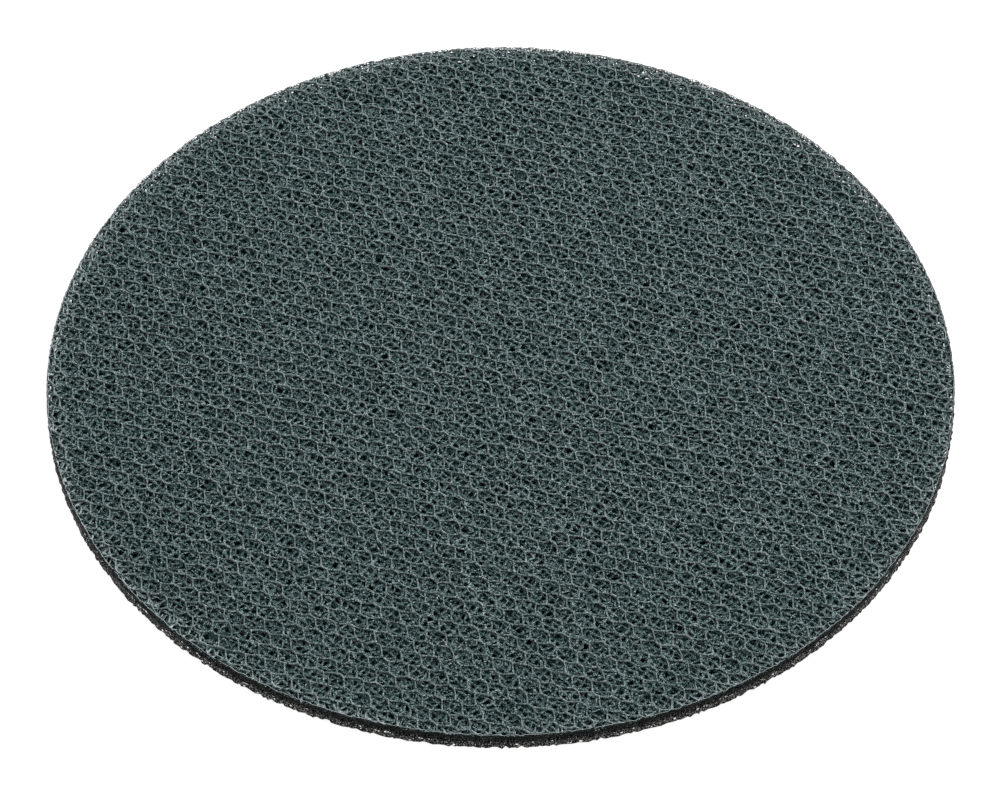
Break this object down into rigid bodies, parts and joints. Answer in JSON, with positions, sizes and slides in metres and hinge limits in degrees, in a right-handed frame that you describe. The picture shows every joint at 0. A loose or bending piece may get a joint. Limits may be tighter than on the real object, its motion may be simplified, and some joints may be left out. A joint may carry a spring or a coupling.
{
  "type": "superfinishing sanding disc",
  "caption": "Round abrasive disc of thick open knit: a honeycomb grit face over a springy pile, with a flat hook-and-loop back that grips a sander's backing pad.",
  "frame": {"origin": "centre of the flat back, where the disc rests", "axes": "+Z along the disc's axis, from the back to the abrasive face; X and Y lie in the plane of the disc"},
  "size_m": [0.15, 0.15, 0.0033],
  "materials": {
    "abrasive_knit": "grey-green grain and resin coat on knitted yarn, matte with small glints",
    "bare_knit": "uncoated black yarn, matte"
  },
  "bodies": {
    "root": {"sanding_disc": "abrasive_knit"}
  },
  "joints": []
}
